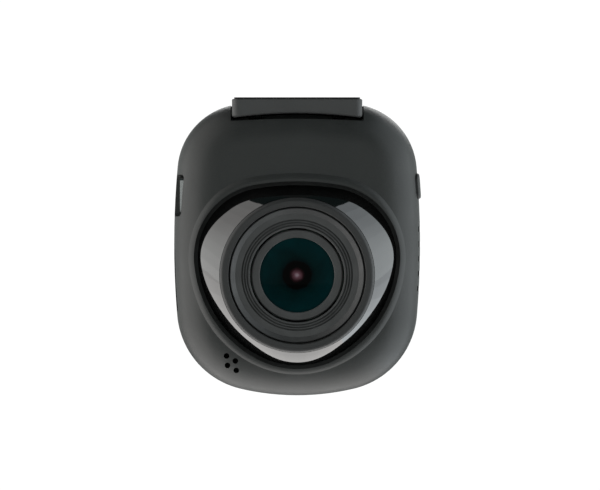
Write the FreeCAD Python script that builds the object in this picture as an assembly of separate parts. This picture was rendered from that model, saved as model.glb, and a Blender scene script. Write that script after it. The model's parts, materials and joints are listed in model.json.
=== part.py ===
"""Compact dash camera on a tilting windscreen plate, built as separate pieces.

+X points to the vented side, the lens looks along -Y and +Z is up. The origin is
the centre of the adhesive pad's top face. All sizes are in millimetres.
"""
import math
import os

import FreeCAD
import Part

# Case outline, seen from the front, and its depth
CASE_WIDTH = 54.3
CASE_HEIGHT = 65.1
CASE_DEPTH = 28.0
CASE_DROP = 0.6
CASE_FRONT = -15.3
SIDE_RADIUS = 191.0
TOP_RADIUS = 105.0
BOTTOM_RADIUS = 54.6
TOP_CORNER = 15.2
BOTTOM_CORNER = 18.2
FRONT_DOME = 260.0
FRONT_ROUND = 10.0
REAR_ROUND = 2.5
WALL = 1.6
SEAM_BACK = 15.0
SEAM_REVEAL = 0.1
TONGUE = 1.2
TONGUE_GAP = 0.15

# Eye-shaped recess around the lens
LENS_DROP = 39.1
EYE_ABOVE = 20.2
EYE_BELOW = 20.3
EYE_TOP_RADIUS = 56.0
EYE_CORNER = 15.7
EYE_CORNER_OUT = 6.6
EYE_SIDE_RADIUS = 25.9
EYE_BOTTOM_RADIUS = 18.4
GROOVE = 0.8
LIP_HEIGHT = 0.6
LIP_OUT = 1.0
LIP_FADE = 1.9
LIP_FOOT = 2.6
LIP_SINK = 0.25
LEDGE = 0.8
LEDGE_WIDTH = 1.9
LEDGE_BACK = 5.7
LEDGE_GRIP = 0.7
TRIM_EDGE_BACK = 2.6
TRIM_BULGE = 0.3
TRIM_LOW_RISE = 0.6
LOOP_SPOTS = 72

# Windscreen plate, pad and hinge
PLATE_WIDTH = 28.7
PLATE_DEPTH = 25.0
PLATE_CORNER = 1.6
PLATE_EDGE = 0.3
PLATE_FOOT_ROUND = 0.6
PLATE_UNDER = 3.5
PAD_THICK = 0.35
PAD_MARGIN = 0.2
PLATE_GAP_SIDE = 0.3
PLATE_GAP_UNDER = 0.3
BAFFLE_Y = 8.6
BAFFLE_THICK = 0.8
BAFFLE_REACH = 0.7
BAFFLE_GAP = 0.3
HINGE_BACK = 2.1
HINGE_DROP = 2.1
PIN_RADIUS = 0.75
RUNNING_GAP = 0.05
EYE_RADIUS = 1.25
RELIEF_RADIUS = 3.3
ARM_INNER = 8.0
ARM_THICK = 2.4
ARM_SLOPE = 32.0
WASHER_THICK = 0.35
BRACKET_TOP = PLATE_UNDER + 2.65
BRACKET_THICK = 1.2
BRACKET_HALF = 11.0
BRACKET_DEPTH = 5.8
BRACKET_SCREW_X = 4.5

# Lens parts
BARREL_RADIUS = 17.0
BARREL_REACH = 7.5
RING_GAP = 0.3
BARREL_ROUND = 1.0
HOOD_RADIUS = BARREL_RADIUS - 2.28
HOOD_BEVEL = 1.15
HOOD_GROOVES = 3
HOOD_GROOVE = 0.34
HOOD_GROOVE_DEPTH = 1.3
HOOD_GROOVE_PITCH = 0.555
HOOD_GROOVE_IN = 2.51
RETAINER_RADIUS = BARREL_RADIUS - 7.02
HOOD_BORE = RETAINER_RADIUS + 0.37
GLASS_VISIBLE = RETAINER_RADIUS - 1.81
GLASS_RADIUS = GLASS_VISIBLE + 0.43
GLASS_DOME = 45.0
CELL_RADIUS = GLASS_RADIUS + 0.82
STEM_RADIUS = 6.4
ELEMENT_RADIUS = 5.5
HOLDER_SIZE = 17.0

# Boards
BOARD_BACK = 10.3
BOARD_THICK = 1.2
BOARD_INSET = 3.2
BOARD_TOP = 9.5
SCREW_RADIUS = 0.85
SCREW_INSET = 4.85
BOSS_RADIUS = 2.2
POST_RADIUS = 1.9
CHIP_X = 8.5
CHIP_Z = -21.5
SPEAKER_RADIUS = 4.1
SPEAKER_IN = 6.47
SPEAKER_DOWN = 3.20

# Side openings
USB_DROP = 21.6
USB_LENGTH = 9.2
USB_DEPTH = 4.9
USB_SHELL = 7.7
USB_INSET = 1.05
SLOT_DROP = 40.2
SLOT_LENGTH = 14.0
SLOT_DEPTH = 1.65
CARD_LENGTH = 15.0
CARD_WIDTH = 11.0
CARD_THICK = 0.8
BUTTON_DROP = 19.5
BUTTON_LENGTH = 5.6
BUTTON_WIDTH = 3.2
BUTTON_PROUD = 0.5
BUTTON_GAP = 0.15
VENT_COUNT = 5
VENT_TOP_DROP = 29.0
VENT_PITCH = 3.28
VENT_HEIGHT = 1.2
VENT_LENGTH = 6.0
MIC_HOLE = 0.62
MIC_DROP = 58.5
MIC_OUT = 14.45
MIC_CHANNEL = 2.6
MIC_BOOT = 3.3

# Screen and keys on the rear face
WINDOW_WIDTH = 44.0
WINDOW_HEIGHT = 34.0
WINDOW_DROP = 32.5
WINDOW_THICK = 0.9
FRAME_DEPTH = 4.2
PANEL = 1.0
TAPE = 0.4
FLEX_THICK = 0.15
FLEX_WIDTH = 14.0
CONNECTOR_HIGH = 1.4
KEY_DROP = 57.5
KEY_PITCH = 10.0
KEY_LENGTH = 7.0
KEY_WIDTH = 3.2
KEY_PROUD = 0.4

PLATE_TOP = -PAD_THICK
PLATE_FRONT = -PLATE_DEPTH / 2
HINGE_Y = PLATE_FRONT + HINGE_BACK
HINGE_Z = -HINGE_DROP
BRACKET_SCREW_Y = HINGE_Y + 7.0
CASE_TOP = -CASE_DROP
CASE_REAR = CASE_FRONT + CASE_DEPTH
REAR_INNER = CASE_REAR - WALL
SEAM = CASE_FRONT + SEAM_BACK
LENS_Z = -LENS_DROP
MIDDLE_Z = CASE_TOP - CASE_HEIGHT / 2
TANGENT_Y = CASE_FRONT + FRONT_ROUND + 1.0
LEDGE_Y = CASE_FRONT + LEDGE_BACK
TRIM_EDGE_Y = CASE_FRONT + TRIM_EDGE_BACK
BARREL_FRONT = CASE_FRONT - BARREL_REACH
BOARD_Y = CASE_FRONT + BOARD_BACK
BOARD_REAR = BOARD_Y + BOARD_THICK
CARD_Y = BOARD_Y - 1.0
USB_Y = BOARD_Y - 2.4
BATTERY_Y = CASE_REAR - FRAME_DEPTH - TAPE
CONNECTOR_Z = -WINDOW_DROP - WINDOW_HEIGHT / 2 - 3.25
FAR = 60.0


def point(x, y, z):
    return FreeCAD.Vector(x, y, z)


def box(x0, x1, y0, y1, z0, z1):
    """Block between two corners given axis by axis."""
    return Part.makeBox(x1 - x0, y1 - y0, z1 - z0, point(x0, y0, z0))


def slab(width, height, y0, y1, x=0.0, z=0.0, corner=0.0):
    """Plate facing along Y, centred on x and z, with rounded corners."""
    plate = box(x - width / 2, x + width / 2, y0, y1, z - height / 2, z + height / 2)
    if corner:
        edges = [e for e in plate.Edges if e.BoundBox.YLength > (y1 - y0) / 2]
        plate = plate.makeFillet(corner, edges)
    return plate


def rod(radius, y0, y1, x=0.0, z=0.0):
    """Round bar along Y."""
    return Part.makeCylinder(radius, y1 - y0, point(x, y0, z), point(0, 1, 0))


def cross_rod(radius, x0, x1, y, z):
    """Round bar along X."""
    return Part.makeCylinder(radius, x1 - x0, point(x0, y, z), point(1, 0, 0))


def upright(radius, z0, z1, x, y):
    """Round bar along Z."""
    return Part.makeCylinder(radius, z1 - z0, point(x, y, z0), point(0, 0, 1))


def ring(outer, inner, y0, y1, x=0.0, z=0.0):
    return rod(outer, y0, y1, x, z).cut(rod(inner, y0 - 1, y1 + 1, x, z))


def stadium(length, width, y0, y1, x, z):
    """Round-ended bar that is long in X and runs along Y."""
    half = (length - width) / 2
    middle = box(x - half, x + half, y0, y1, z - width / 2, z + width / 2)
    ends = [rod(width / 2, y0, y1, x + side * half, z) for side in (-1, 1)]
    return middle.fuse(ends).removeSplitter()


def side_stadium(length, width, x0, x1, y, z):
    """Round-ended bar that is long in Z and runs along X."""
    half = (length - width) / 2
    middle = box(x0, x1, y - width / 2, y + width / 2, z - half, z + half)
    ends = [cross_rod(width / 2, x0, x1, y, z + side * half) for side in (-1, 1)]
    return middle.fuse(ends).removeSplitter()


def join(first, others):
    return first.fuse(others).removeSplitter()


def turned(profile):
    """Solid turned about the lens axis from (radius, y) corners."""
    corners = [point(r, y, LENS_Z) for r, y in profile]
    face = Part.Face(Part.makePolygon(corners + corners[:1]))
    return face.revolve(point(0, 0, LENS_Z), point(0, 1, 0), 360)


def tangent_circle(a, b, radius, pick):
    """Circle of the given radius that touches circles a and b from inside."""
    reach_a = abs(a[2] - radius)
    reach_b = abs(b[2] - radius)
    gap = math.hypot(b[0] - a[0], b[1] - a[1])
    along = (reach_a ** 2 - reach_b ** 2 + gap ** 2) / (2 * gap)
    off = math.sqrt(reach_a ** 2 - along ** 2)
    ux = (b[0] - a[0]) / gap
    uz = (b[1] - a[1]) / gap
    base_x = a[0] + along * ux
    base_z = a[1] + along * uz
    found = [(base_x + s * off * uz, base_z - s * off * ux, radius) for s in (1, -1)]
    return pick(found)


def contact(a, b):
    """Point where two circles, one inside the other, touch."""
    big, small = (a, b) if a[2] > b[2] else (b, a)
    dx = small[0] - big[0]
    dz = small[1] - big[1]
    reach = math.hypot(dx, dz)
    return (big[0] + dx / reach * big[2], big[1] + dz / reach * big[2])


def arc(circle, start, end, y):
    """Shorter arc of a circle between two of its points."""
    dx = start[0] + end[0] - 2 * circle[0]
    dz = start[1] + end[1] - 2 * circle[1]
    reach = math.hypot(dx, dz)
    mid = (circle[0] + dx / reach * circle[2], circle[1] + dz / reach * circle[2])
    ends = [point(p[0], y, p[1]) for p in (start, mid, end)]
    return Part.Arc(*ends).toShape()


def outline(circles, grow, y):
    """Closed loop of tangent arcs, listed from the top down the +X side."""
    grown = [(x, z, r + grow) for x, z, r in circles]
    right = [contact(a, b) for a, b in zip(grown, grown[1:])]
    left = [(-x, z) for x, z in right]
    edges = [arc(grown[0], left[0], right[0], y)]
    for circle, start, end in zip(grown[1:-1], right, right[1:]):
        edges.append(arc(circle, start, end, y))
    edges.append(arc(grown[-1], right[-1], left[-1], y))
    mirrored = [(-x, z, r) for x, z, r in grown[1:-1]]
    for circle, start, end in reversed(list(zip(mirrored, left[1:], left))):
        edges.append(arc(circle, start, end, y))
    return Part.Wire(edges)


def prism(circles, grow, y0, y1):
    return Part.Face(outline(circles, grow, y0)).extrude(point(0, y1 - y0, 0))


def case_circles():
    top = (0.0, CASE_TOP - TOP_RADIUS, TOP_RADIUS)
    bottom = (0.0, CASE_TOP - CASE_HEIGHT + BOTTOM_RADIUS, BOTTOM_RADIUS)
    side = (CASE_WIDTH / 2 - SIDE_RADIUS, MIDDLE_Z + 1.0, SIDE_RADIUS)
    upper = tangent_circle(top, side, TOP_CORNER, max)
    lower = tangent_circle(side, bottom, BOTTOM_CORNER, max)
    return [top, upper, side, lower, bottom]


def eye_circles():
    top = (0.0, LENS_Z + EYE_ABOVE - EYE_TOP_RADIUS, EYE_TOP_RADIUS)
    drop = math.sqrt((EYE_TOP_RADIUS - EYE_CORNER) ** 2 - EYE_CORNER_OUT ** 2)
    corner = (EYE_CORNER_OUT, top[1] + drop, EYE_CORNER)
    bottom = (0.0, LENS_Z - EYE_BELOW + EYE_BOTTOM_RADIUS, EYE_BOTTOM_RADIUS)
    side = tangent_circle(corner, bottom, EYE_SIDE_RADIUS, min)
    return [top, corner, side, bottom]


CASE = case_circles()
EYE = eye_circles()
TOP_CENTRE = CASE[0][1]
CASE_SCREWS = []
for circle, angle in ((CASE[1], 52.0), (CASE[3], -32.0)):
    reach = circle[2] - SCREW_INSET
    screw_x = circle[0] + reach * math.cos(math.radians(angle))
    screw_z = circle[1] + reach * math.sin(math.radians(angle))
    CASE_SCREWS.extend([(screw_x, screw_z), (-screw_x, screw_z)])
POST_TOP_Z = -12.5
POST_LOW_Z = CASE_TOP - CASE_HEIGHT + 4.9
POSTS = [(12.5, POST_TOP_Z), (-12.5, POST_TOP_Z), (7.5, POST_LOW_Z), (-7.5, POST_LOW_Z)]
KEY_POST_Z = -KEY_DROP - 3.8
KEY_POSTS = [(-KEY_PITCH, KEY_POST_Z), (KEY_PITCH, KEY_POST_Z)]


def side_at(z, y):
    """Distance from the middle to the case's side wall at height z and depth y."""
    side = CASE[2]
    wall = side[0] + math.sqrt(side[2] ** 2 - (z - side[1]) ** 2)
    ahead = max(TANGENT_Y - y, 0.0)
    return wall - FRONT_ROUND + math.sqrt(FRONT_ROUND ** 2 - ahead ** 2)


def case_form(inset):
    """Domed block inside the case's outer surface, moved inwards by inset."""
    block = prism(CASE, -inset, CASE_FRONT - 2.0, CASE_REAR - inset)
    centre = point(0, CASE_FRONT + FRONT_DOME, MIDDLE_Z)
    domed = block.common(Part.makeSphere(FRONT_DOME - inset, centre))
    front = [e for e in domed.Edges if e.BoundBox.YMax < CASE_FRONT + FRONT_ROUND]
    domed = domed.makeFillet(FRONT_ROUND - inset, front)
    rear = [e for e in domed.Edges if e.BoundBox.YMin > CASE_REAR - inset - 0.01]
    return domed.makeFillet(max(REAR_ROUND - inset, 0.4), rear)


def notch(grow):
    """Room for the windscreen plate in the case's top, open to front and rear."""
    half = PLATE_WIDTH / 2 + PLATE_GAP_SIDE + grow
    room = box(-half, half, CASE_FRONT - 5, CASE_REAR + 5, -FAR, 5.0)
    floor_radius = -TOP_CENTRE - PLATE_UNDER - PLATE_GAP_UNDER - grow
    core = rod(floor_radius, CASE_FRONT - 6, CASE_REAR + 6, 0.0, TOP_CENTRE)
    relief = cross_rod(RELIEF_RADIUS + grow, -half, half, HINGE_Y, HINGE_Z)
    return room.cut(core).fuse(relief)


def baffle(reach, y0, y1, inset):
    """Rim of the plate's room between two depths, reaching inwards to stop light."""
    rim = notch(0.0).cut(notch(-reach))
    return rim.common(case_form(inset)).common(box(-FAR, FAR, y0, y1, -FAR, FAR))


def closed_curve(spots):
    curve = Part.BSplineCurve()
    curve.interpolate(Points=spots, PeriodicFlag=True)
    return Part.Wire(curve.toShape())


def front_depth(rim, x, z, height):
    """Depth of the domed front, with its rounded edge, raised by height."""
    sphere = math.sqrt((FRONT_DOME + height) ** 2 - x ** 2 - (z - MIDDLE_Z) ** 2)
    inside = rim.distToShape(Part.Vertex(point(x, 0, z)))[0]
    ahead = max(FRONT_ROUND - inside, 0.0)
    bend = FRONT_ROUND + height
    return CASE_FRONT + FRONT_DOME - sphere + bend - math.sqrt(bend ** 2 - ahead ** 2)


def lip():
    """Soft roll round the eye that fades into the domed front."""
    rim = outline(CASE, 0.0, 0.0)
    profile = [(0.0, LIP_HEIGHT * 0.8), (LIP_OUT, LIP_HEIGHT), (LIP_FADE, LIP_HEIGHT * 0.35),
               (LIP_FOOT, -LIP_SINK)]
    loops = []
    for out, height in profile:
        spots = outline(EYE, out, 0.0).discretize(LOOP_SPOTS + 1)[:-1]
        loops.append(closed_curve([point(s.x, front_depth(rim, s.x, s.z, height), s.z) for s in spots]))
    skin = Part.makeLoft(loops, False)
    return skin.Faces[0].extrude(point(0, WALL, 0))


def hollow_case():
    """Whole case wall, with the plate's notch and the eye's opening cut."""
    cavity = case_form(WALL).cut(notch(WALL))
    tube = prism(EYE, GROOVE / 2 + LEDGE, CASE_FRONT, LEDGE_Y)
    ledge = tube.cut(prism(EYE, -LEDGE_WIDTH, CASE_FRONT - 1, LEDGE_Y + 1))
    wall = case_form(0.0).fuse(lip()).cut(notch(0.0)).cut(cavity.cut(ledge))
    opening = prism(EYE, GROOVE / 2, CASE_FRONT - 5, LEDGE_Y - LEDGE)
    through = prism(EYE, -LEDGE_WIDTH, CASE_FRONT - 5, LEDGE_Y + 1)
    return wall.cut(opening).cut(through)


def half_wall(shape, inset, y0, y1):
    """Inner part of the wall between two depths, for the seam's tongue."""
    inner = prism(CASE, -inset, y0, y1)
    return shape.common(inner).cut(notch(inset))


def front_shell(whole):
    shell = whole.common(box(-FAR, FAR, -FAR, SEAM - SEAM_REVEAL / 2, -2 * FAR, FAR))
    rabbet = half_wall(whole, WALL / 2 - TONGUE_GAP, SEAM - TONGUE - TONGUE_GAP, SEAM)
    shell = shell.cut(rabbet)
    inside = case_form(WALL / 2)
    adds = [rod(BOSS_RADIUS, CASE_FRONT, SEAM, x, z) for x, z in CASE_SCREWS]
    adds += [rod(POST_RADIUS, CASE_FRONT, BOARD_Y, x, z) for x, z in POSTS]
    pads = []
    for side in (-1, 1):
        pads.append(upright(1.8, -BRACKET_TOP, -BRACKET_TOP + 2.0, side * BRACKET_SCREW_X, BRACKET_SCREW_Y))
    room = notch(WALL / 2)
    shell = shell.fuse([a.common(inside).cut(room) for a in adds + pads])
    cuts = [rod(SCREW_RADIUS, SEAM - 8.0, SEAM + 1, x, z) for x, z in CASE_SCREWS]
    cuts += [rod(0.7, BOARD_Y - 3.5, BOARD_Y + 1, x, z) for x, z in POSTS]
    for side in (-1, 1):
        screw_x = side * BRACKET_SCREW_X
        cuts.append(upright(0.7, -BRACKET_TOP - 1, -BRACKET_TOP + 1.4, screw_x, BRACKET_SCREW_Y))
        inner = min(side * (ARM_INNER - 0.25), side * (ARM_INNER + ARM_THICK + 0.25))
        outer = inner + ARM_THICK + 0.5
        cuts.append(box(inner, outer, HINGE_Y + 1.5, HINGE_Y + 8.2, -BRACKET_TOP, HINGE_Z))
    usb_end = -side_at(-USB_DROP, USB_Y) + 4.2
    usb = box(-FAR, usb_end, USB_Y - USB_DEPTH / 2, USB_Y + USB_DEPTH / 2,
              -USB_DROP - USB_LENGTH / 2, -USB_DROP + USB_LENGTH / 2)
    usb = usb.makeFillet(1.0, [e for e in usb.Edges if e.BoundBox.XLength > USB_DEPTH * 2])
    slot_end = -side_at(-SLOT_DROP, CARD_Y) + 2.6
    slot = side_stadium(SLOT_LENGTH, SLOT_DEPTH, -FAR, slot_end, CARD_Y, -SLOT_DROP)
    button_in = side_at(-BUTTON_DROP, CARD_Y) - 3.4
    gap = 2 * BUTTON_GAP
    button = side_stadium(BUTTON_LENGTH + gap, BUTTON_WIDTH + gap, button_in, FAR, CARD_Y, -BUTTON_DROP)
    cuts += [usb, slot, button]
    vent_y = BOARD_Y + 0.6
    for i in range(VENT_COUNT):
        z = -VENT_TOP_DROP - i * VENT_PITCH
        vent = box(side_at(z, vent_y) - 3.0, FAR, vent_y - VENT_LENGTH / 2, vent_y + VENT_LENGTH / 2,
                   z - VENT_HEIGHT / 2, z + VENT_HEIGHT / 2)
        cuts.append(vent)
    cuts += mic_holes(MIC_HOLE, CASE_FRONT - 3, CASE_FRONT + 6.0)
    return shell.cut(cuts).removeSplitter()


def mic_holes(radius, y0, y1):
    """Four small holes in a leaning two by two group."""
    holes = []
    for i in (-0.5, 0.5):
        for j in (-0.5, 0.5):
            x = -MIC_OUT + i * 1.93 + j * 0.2
            z = -MIC_DROP - i * 1.1 - j * 2.1
            holes.append(rod(radius, y0, y1, x, z))
    return holes


def rear_shell(whole):
    shell = whole.common(box(-FAR, FAR, SEAM + SEAM_REVEAL / 2, FAR, -2 * FAR, FAR))
    tongue = half_wall(whole, WALL / 2, SEAM - TONGUE, SEAM + 1.0)
    tongue = tongue.cut([rod(BOSS_RADIUS + TONGUE_GAP, SEAM - 2, SEAM, x, z) for x, z in CASE_SCREWS])
    inside = case_form(WALL / 2)
    bosses = [rod(BOSS_RADIUS, SEAM, REAR_INNER + 0.5, x, z) for x, z in CASE_SCREWS]
    posts = [rod(1.5, CASE_REAR - 4.5, REAR_INNER + 0.5, x, z) for x, z in KEY_POSTS]
    room = notch(WALL / 2)
    rib = baffle(BAFFLE_REACH, BAFFLE_Y, BAFFLE_Y + BAFFLE_THICK, 0.0)
    shell = shell.fuse([tongue, rib] + [b.common(inside).cut(room) for b in bosses + posts])
    cuts = [rod(SCREW_RADIUS + 0.2, SEAM - 1, FAR, x, z) for x, z in CASE_SCREWS]
    cuts += [rod(2.0, CASE_REAR - 1.3, FAR, x, z) for x, z in CASE_SCREWS]
    cuts += [rod(0.6, CASE_REAR - 5, CASE_REAR - 2.1, x, z) for x, z in KEY_POSTS]
    cuts.append(slab(WINDOW_WIDTH + 0.2, WINDOW_HEIGHT + 0.2, CASE_REAR - WINDOW_THICK, FAR,
                     0.0, -WINDOW_DROP, 1.6))
    cuts.append(slab(WINDOW_WIDTH - 3, WINDOW_HEIGHT - 3, REAR_INNER - 1, FAR, 0.0, -WINDOW_DROP, 1.0))
    gap = 2 * BUTTON_GAP
    for x in key_places():
        cuts.append(stadium(KEY_LENGTH + gap, KEY_WIDTH + gap, REAR_INNER - 1, FAR, x, -KEY_DROP))
    cuts.append(rod(0.8, REAR_INNER - 1, FAR, 0.0, -KEY_DROP))
    return shell.cut(cuts).removeSplitter()


def key_places():
    return [KEY_PITCH * (i - 1.5) for i in range(4)]


def plate_body():
    """Flat-topped plate whose underside is concentric with the case's top."""
    half = PLATE_WIDTH / 2
    block = box(-half, half, PLATE_FRONT, -PLATE_FRONT, -PLATE_UNDER - 3, PLATE_TOP)
    edges = [e for e in block.Edges if e.BoundBox.ZLength > 1]
    block = block.makeFillet(PLATE_CORNER, edges)
    under = rod(TOP_CENTRE * -1 - PLATE_UNDER, PLATE_FRONT - 1, -PLATE_FRONT + 1, 0.0, TOP_CENTRE)
    block = block.cut(under)
    low = -PLATE_UNDER - 0.1
    feet = [e for e in block.Edges if e.BoundBox.ZMax < low and e.BoundBox.XLength < 0.01]
    block = block.makeFillet(PLATE_FOOT_ROUND, feet)
    top = [e for e in block.Edges if e.BoundBox.ZMin > PLATE_TOP - 0.01]
    return block.makeFillet(PLATE_EDGE, top)


def mount_plate():
    plate = plate_body()
    cuts = []
    for side in (-1, 1):
        near = side * (ARM_INNER - RUNNING_GAP)
        far = side * (ARM_INNER + ARM_THICK + WASHER_THICK + 2 * RUNNING_GAP)
        cuts.append(box(min(near, far), max(near, far), HINGE_Y - EYE_RADIUS - 0.1, HINGE_Y + 5.2,
                        -FAR, HINGE_Z + EYE_RADIUS + 0.1))
    reach = PLATE_WIDTH / 2 - 1.0
    cuts.append(cross_rod(PIN_RADIUS, -reach, FAR, HINGE_Y, HINGE_Z))
    for x in (-6.0, 0.0, 6.0):
        cuts.append(slab(4.4, 1.2, HINGE_Y + 6.0, BAFFLE_Y - 1.5, x, -PLATE_UNDER + 0.4))
    cuts.append(baffle(BAFFLE_REACH + BAFFLE_GAP, BAFFLE_Y - BAFFLE_GAP,
                       BAFFLE_Y + BAFFLE_THICK + BAFFLE_GAP, -BAFFLE_GAP))
    return plate.cut(cuts)


def adhesive_pad():
    shrink = 2 * (PAD_MARGIN + PLATE_EDGE)
    width = PLATE_WIDTH - shrink
    depth = PLATE_DEPTH - shrink
    pad = box(-width / 2, width / 2, -depth / 2, depth / 2, PLATE_TOP, 0.0)
    edges = [e for e in pad.Edges if e.BoundBox.ZLength > PAD_THICK / 2]
    return pad.makeFillet(PLATE_CORNER - PAD_MARGIN, edges)


def hinge_pin():
    reach = PLATE_WIDTH / 2 - 1.0
    return cross_rod(PIN_RADIUS, -reach, reach, HINGE_Y, HINGE_Z)


def friction_washers():
    washers = []
    start = ARM_INNER + ARM_THICK + RUNNING_GAP
    for near in (start, -start - WASHER_THICK):
        disc = cross_rod(EYE_RADIUS, near, near + WASHER_THICK, HINGE_Y, HINGE_Z)
        hole = cross_rod(PIN_RADIUS, near - 1, near + 1, HINGE_Y, HINGE_Z)
        washers.append(disc.cut(hole))
    return Part.makeCompound(washers)


def hinge_bracket():
    base_front = HINGE_Y + 3.2
    base_back = base_front + BRACKET_DEPTH
    low = -BRACKET_TOP - BRACKET_THICK
    bracket = box(-BRACKET_HALF, BRACKET_HALF, base_front, base_back, low, -BRACKET_TOP)
    for near in (ARM_INNER, -ARM_INNER - ARM_THICK):
        bar = box(near, near + ARM_THICK, HINGE_Y, HINGE_Y + 9.0, HINGE_Z - 1, HINGE_Z + 1)
        bar.rotate(point(near, HINGE_Y, HINGE_Z), point(1, 0, 0), -ARM_SLOPE)
        bar = bar.common(box(-FAR, FAR, -FAR, base_back, low, 0.0))
        eye = cross_rod(EYE_RADIUS, near, near + ARM_THICK, HINGE_Y, HINGE_Z)
        bracket = bracket.fuse([bar, eye])
    bore = cross_rod(PIN_RADIUS + RUNNING_GAP, -FAR, FAR, HINGE_Y, HINGE_Z)
    holes = [upright(0.85, low - 1, 0.0, side * BRACKET_SCREW_X, BRACKET_SCREW_Y) for side in (-1, 1)]
    return bracket.cut([bore] + holes).removeSplitter()


def bracket_screws():
    low = -BRACKET_TOP - BRACKET_THICK
    screws = []
    for side in (-1, 1):
        head = upright(1.4, low - 0.8, low, side * BRACKET_SCREW_X, BRACKET_SCREW_Y)
        shank = upright(0.7, low, -BRACKET_TOP + 1.2, side * BRACKET_SCREW_X, BRACKET_SCREW_Y)
        screws.append(socket_cut(join(head, [shank]), side * BRACKET_SCREW_X, BRACKET_SCREW_Y, low - 0.8))
    return Part.makeCompound(screws)


def socket_cut(screw, x, y, z):
    """Cross recess in a screw head that faces down."""
    bars = [box(x - 0.7, x + 0.7, y - 0.15, y + 0.15, z - 1, z + 0.45),
            box(x - 0.15, x + 0.15, y - 0.7, y + 0.7, z - 1, z + 0.45)]
    return screw.cut(bars)


def screw(x, z, head_radius, head_y0, head_y1, radius, tip_y):
    """Screw along Y with a cross recess; its head lies between the two depths."""
    head = rod(head_radius, head_y0, head_y1, x, z)
    shank = rod(radius, min(tip_y, head_y1), max(tip_y, head_y0), x, z)
    outer = head_y1 if tip_y < head_y0 else head_y0
    reach = head_radius * 0.6
    recess = [slab(2 * reach, 0.35, outer - 0.5, outer + 0.5, x, z),
              slab(0.35, 2 * reach, outer - 0.5, outer + 0.5, x, z)]
    return join(head, [shank]).cut(recess)


def lens_trim():
    """Glossy band that climbs from the eye's groove to a circle round the barrel."""
    bore = BARREL_RADIUS + 0.1
    start = CASE_FRONT - 1.6
    inner, middle, outer = [], [], []
    for spot in outline(EYE, -GROOVE / 2 - 0.05, TRIM_EDGE_Y).discretize(LOOP_SPOTS + 1)[:-1]:
        reach = math.hypot(spot.x, spot.z - LENS_Z)
        across = spot.x / reach
        up = (spot.z - LENS_Z) / reach
        half = (reach + bore) / 2
        edge = TRIM_EDGE_Y - TRIM_LOW_RISE * max(-up, 0.0) ** 12
        inner.append(point(bore * across, start, LENS_Z + bore * up))
        middle.append(point(half * across, (start + edge) / 2 - TRIM_BULGE, LENS_Z + half * up))
        outer.append(point(spot.x, edge, spot.z))
    band = Part.makeLoft([closed_curve(c) for c in (inner, middle, outer)], False)
    block = band.Faces[0].extrude(point(0, FAR / 3, 0))
    return block.common(box(-FAR, FAR, -FAR, LEDGE_Y - LEDGE, -2 * FAR, FAR))


def round_edges(shape, radius, y, size):
    """Rounds the circular edges of one radius at one depth."""
    picked = []
    for edge in shape.Edges:
        flat = edge.BoundBox.YLength < 0.001 and abs(edge.BoundBox.YMin - y) < 0.001
        if flat and abs(edge.BoundBox.XMax - radius) < 0.001:
            picked.append(edge)
    return shape.makeFillet(size, picked)


def lens_shroud():
    inner = HOOD_RADIUS + RING_GAP
    shelf = BARREL_FRONT + 5.8
    foot = LEDGE_Y
    flange = EYE_BELOW - LEDGE_WIDTH + LEDGE_GRIP
    body = turned([(BARREL_RADIUS, BARREL_FRONT), (inner, BARREL_FRONT), (inner, shelf),
                   (HOOD_BORE + 0.05, shelf), (HOOD_BORE + 0.05, shelf + 1.2),
                   (inner + 0.4, shelf + 1.2), (inner + 0.4, foot + LEDGE),
                   (flange, foot + LEDGE), (flange, foot), (BARREL_RADIUS, foot)])
    body = round_edges(body, BARREL_RADIUS, BARREL_FRONT, BARREL_ROUND)
    return round_edges(body, inner, BARREL_FRONT, 0.25)


def lens_hood():
    """Ring with a bright bevel, a flat and fine deep grooves that step inwards."""
    front = BARREL_FRONT + 0.35
    y = front + 0.6
    profile = [(HOOD_RADIUS, front + 0.15), (HOOD_RADIUS - 0.15, front),
               (HOOD_RADIUS - HOOD_BEVEL, y)]
    y += 0.1
    for i in range(HOOD_GROOVES):
        r = HOOD_RADIUS - HOOD_GROOVE_IN - i * HOOD_GROOVE_PITCH
        low = r - HOOD_GROOVE
        profile += [(r, y), (r, y + HOOD_GROOVE_DEPTH), (low, y + HOOD_GROOVE_DEPTH), (low, y + 0.1)]
        y += 0.1
    profile += [(HOOD_BORE + 0.12, y), (HOOD_BORE, y + 0.12)]
    shelf = BARREL_FRONT + 5.8
    profile += [(HOOD_BORE, shelf - 1.6), (HOOD_BORE + 0.9, shelf - 1.6), (HOOD_BORE + 0.9, shelf),
                (HOOD_RADIUS, shelf)]
    return turned(profile)


GLASS_APEX = BARREL_FRONT + 1.8
GLASS_SAG = GLASS_DOME - math.sqrt(GLASS_DOME ** 2 - GLASS_VISIBLE ** 2)
CELL_FRONT = GLASS_APEX + GLASS_SAG + 0.06
SEAT_Y = GLASS_APEX + 3.8
STEM_Y = GLASS_APEX + 8.0
STEM_END = BOARD_Y - 2.9
HOLDER_FRONT = STEM_Y + 1.8
RETAINER_FRONT = GLASS_APEX + 0.3


def lens_retainer():
    r_out = RETAINER_RADIUS
    r_in = GLASS_VISIBLE
    front = RETAINER_FRONT
    return turned([(r_out, front + 0.2), (r_out - 0.2, front), (r_in + 0.15, front),
                   (r_in, front + 0.15), (r_in, CELL_FRONT - 0.07), (CELL_RADIUS, CELL_FRONT - 0.07),
                   (CELL_RADIUS, CELL_FRONT + 1.6), (r_out, CELL_FRONT + 1.6)])


def ball(radius, y):
    """Sphere on the lens axis with its centre at depth y."""
    return Part.makeSphere(radius, point(0, y, LENS_Z))


def front_element():
    glass = rod(GLASS_RADIUS, GLASS_APEX - 1, SEAT_Y, 0.0, LENS_Z)
    glass = glass.common(ball(GLASS_DOME, GLASS_APEX + GLASS_DOME))
    return glass.cut(ball(7.0, SEAT_Y + 4.6))


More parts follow.
